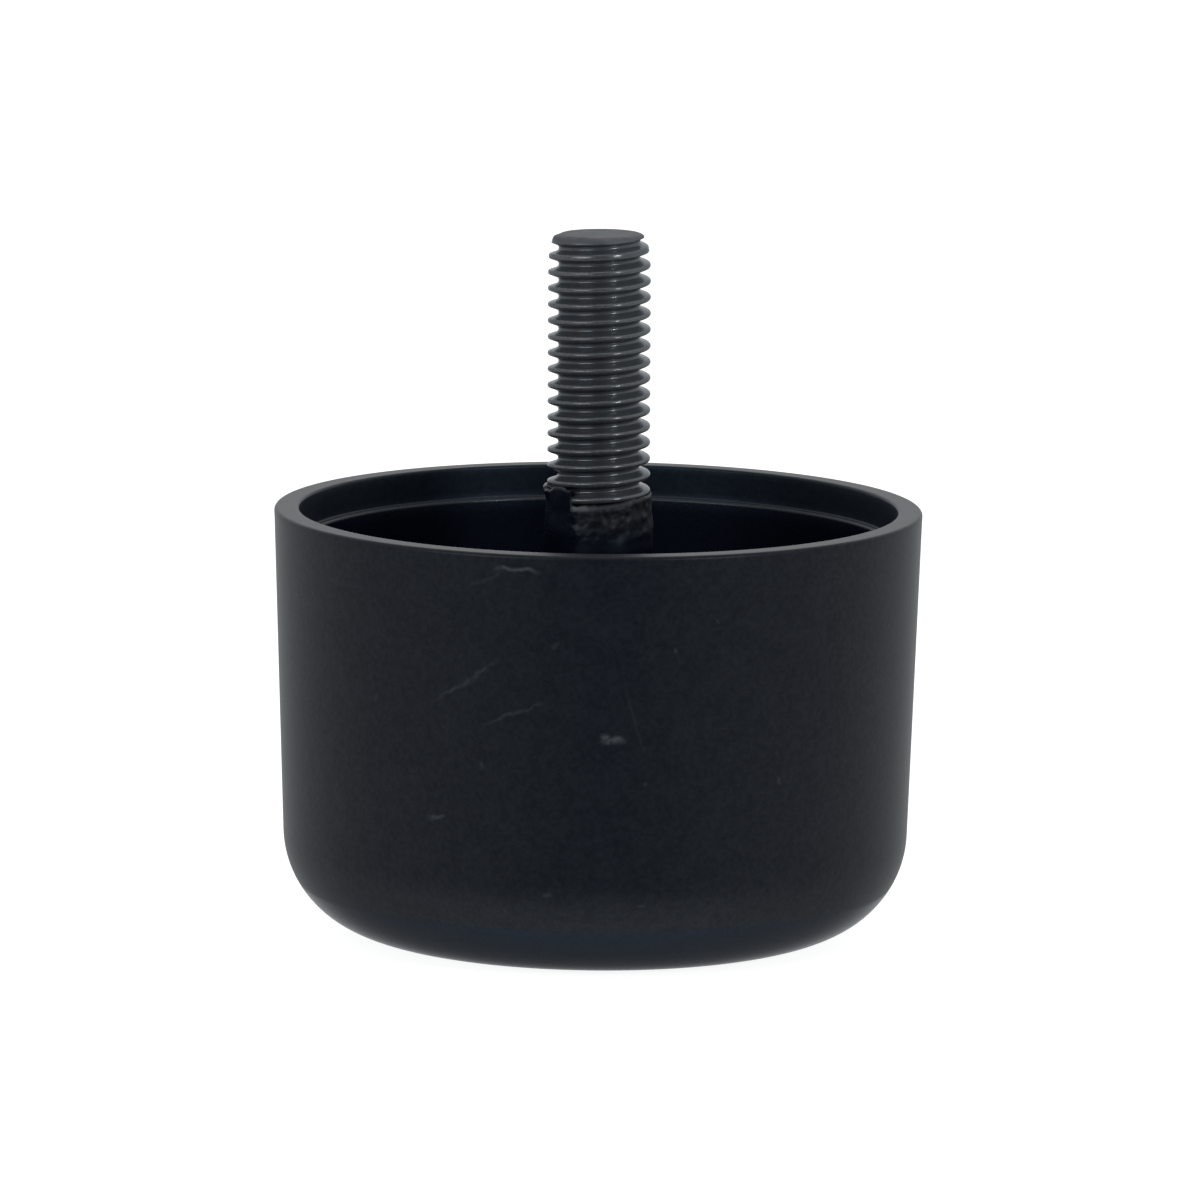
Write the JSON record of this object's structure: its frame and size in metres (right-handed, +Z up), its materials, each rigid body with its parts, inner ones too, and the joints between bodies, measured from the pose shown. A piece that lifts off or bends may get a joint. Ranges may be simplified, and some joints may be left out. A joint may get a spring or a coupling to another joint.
{
  "type": "furniture leveling foot",
  "caption": "Round moulded cup foot for furniture, with a threaded steel stud fixed in its central column; it is levelled by screwing the whole foot in or out.",
  "frame": {"origin": "centre of the flat base, where the foot stands on the floor", "axes": "+Z up along the stud's axis; +X and +Y along two of the four ribs inside the cup"},
  "size_m": [0.05, 0.05, 0.0543],
  "materials": {
    "cup_plastic": "injection-moulded black plastic, satin, with fine handling scratches",
    "stud_steel": "rolled steel thread with a dark grey-black coating, semi-gloss, worn on the crests"
  },
  "bodies": {
    "root": {"foot_cup": "cup_plastic", "threaded_stud": "stud_steel"}
  },
  "joints": []
}
